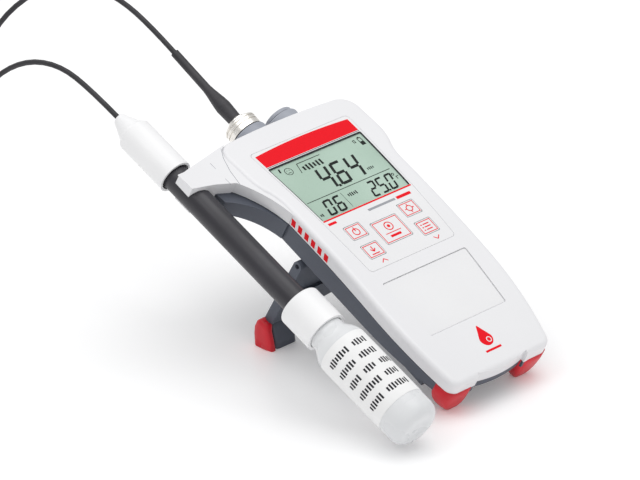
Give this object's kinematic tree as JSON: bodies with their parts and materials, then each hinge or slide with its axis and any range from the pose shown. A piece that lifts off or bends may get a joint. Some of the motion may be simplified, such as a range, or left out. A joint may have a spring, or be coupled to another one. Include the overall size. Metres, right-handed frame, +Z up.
{
  "type": "water quality probe",
  "caption": "Handheld dissolved-oxygen meter on a fold-out stand, with display, membrane keys and a cabled probe in a side clip, its tip in a screw-capped storage bottle.",
  "frame": {"origin": "on the table, under the middle of the standing meter with its probe and plug (free cable left out)", "axes": "+Z up, +Y from the keypad end back to the socket end, +X across to the right as the display is read"},
  "size_m": [0.1388, 0.3043, 0.1218],
  "materials": {
    "white_shell": "satin",
    "slate_plastic": "matte",
    "black_rubber": "matte",
    "red_rubber": "satin",
    "steel": "satin",
    "clear_window": "gloss",
    "lcd_glass": "satin",
    "overlay_film": "satin",
    "key_film": "satin",
    "board": "satin",
    "label_film": "satin",
    "cell_wrap": "gloss",
    "nickel": "satin",
    "black_plastic": "satin",
    "grey_plastic": "satin",
    "white_cap": "satin",
    "bottle_plastic": "satin",
    "bottle_label": "matte",
    "cable": "satin"
  },
  "bodies": {
    "meter": {"battery_cells": "cell_wrap", "battery_contacts": "steel", "board_screws": "steel", "bottom_shell": "slate_plastic", "cable_coil": "cable", "cable_from_probe": "cable", "cable_tie": "black_plastic", "cable_to_plug": "cable", "case_gasket": "black_rubber", "case_screws": "steel", "clip_bracket": "slate_plastic", "clip_screws": "steel", "display_window": "clear_window", "dome_sheet": "steel", "front_foot_left": "red_rubber", "front_foot_right": "red_rubber", "keypad_overlay": "overlay_film", "label_plate": "label_film", "lcd_frame": "steel", "lcd_panel": "lcd_glass", "main_board": "board", "plug_boot": "black_rubber", "plug_shell": "nickel", "probe_clip": "white_shell", "probe_socket": "nickel", "socket_collar_left": "grey_plastic", "socket_collar_right": "grey_plastic", "stand_pin": "steel", "temp_socket": "black_plastic", "top_shell": "white_shell", "zebra_strips": "black_rubber"},
    "stand": {"stand_frame": "slate_plastic", "stand_foot_left": "red_rubber", "stand_foot_right": "red_rubber"},
    "door": {"battery_door": "slate_plastic"},
    "cap_cover": {"socket_cap": "grey_plastic"},
    "bayonet_ring": {"plug_ring": "nickel"},
    "probe": {"probe_shaft": "black_plastic", "head_cap": "white_cap", "shaft_plug": "grey_plastic", "membrane_cap": "black_plastic", "anode_tube": "nickel", "cathode_core": "clear_window"},
    "storage_cap": {"bottle_cap": "white_cap", "cap_seal": "black_rubber"},
    "storage_bottle": {"bottle": "bottle_plastic", "bottle_label": "bottle_label"},
    "key_read_plate": {"key_read": "key_film"},
    "key_exit_plate": {"key_exit": "key_film"},
    "key_cal_plate": {"key_cal": "key_film"},
    "key_store_plate": {"key_store": "key_film"},
    "key_mode_plate": {"key_mode": "key_film"}
  },
  "joints": [
    {"name": "stand_fold", "type": "hinge", "parent": "meter", "child": "stand", "pos_m": [0.0157, -0.0031, 0.04397], "axis": [1, 0, 0], "range_deg": [0, 86]},
    {"name": "door_slide", "type": "slide", "parent": "meter", "child": "door", "axis": [0, -0.885, -0.4656], "range_m": [0, 0.0065]},
    {"name": "cover_pull", "type": "slide", "parent": "meter", "child": "cap_cover", "axis": [0, 0.885, 0.4656], "range_m": [0, 0.008]},
    {"name": "ring_turn", "type": "hinge", "parent": "meter", "child": "bayonet_ring", "pos_m": [0.0061, 0.05682, 0.07934], "axis": [0, 0.885, 0.4656], "range_deg": [0, 90]},
    {"name": "probe_slide", "type": "slide", "parent": "meter", "child": "probe", "axis": [-0.0115, 0.9057, 0.4239], "range_m": [0, 0.05], "deforming": ["cable_from_probe"]},
    {"name": "bottle_slide", "type": "slide", "parent": "probe", "child": "storage_bottle", "axis": [0.0115, -0.9057, -0.4239], "range_m": [0, 0.0045]},
    {"name": "cap_turn", "type": "hinge", "parent": "probe", "child": "storage_cap", "pos_m": [-0.04438, -0.03565, 0.04033], "axis": [-0.0115, 0.9057, 0.4239], "range_deg": [0, 540]},
    {"name": "press_read", "type": "slide", "parent": "meter", "child": "key_read_plate", "axis": [0, 0.4656, -0.885], "range_m": [0, 0.0004], "stiffness_N_per_m": 2000, "springref_m": -0.0002},
    {"name": "press_exit", "type": "slide", "parent": "meter", "child": "key_exit_plate", "axis": [0, 0.4656, -0.885], "range_m": [0, 0.0004], "stiffness_N_per_m": 2000, "springref_m": -0.0002},
    {"name": "press_cal", "type": "slide", "parent": "meter", "child": "key_cal_plate", "axis": [0, 0.4656, -0.885], "range_m": [0, 0.0004], "stiffness_N_per_m": 2000, "springref_m": -0.0002},
    {"name": "press_store", "type": "slide", "parent": "meter", "child": "key_store_plate", "axis": [0, 0.4656, -0.885], "range_m": [0, 0.0004], "stiffness_N_per_m": 2000, "springref_m": -0.0002},
    {"name": "press_mode", "type": "slide", "parent": "meter", "child": "key_mode_plate", "axis": [0, 0.4656, -0.885], "range_m": [0, 0.0004], "stiffness_N_per_m": 2000, "springref_m": -0.0002}
  ],
  "couplings": [
    {"joint": "cap_turn", "follows": "bottle_slide", "rad_per_m": 2094.4}
  ]
}
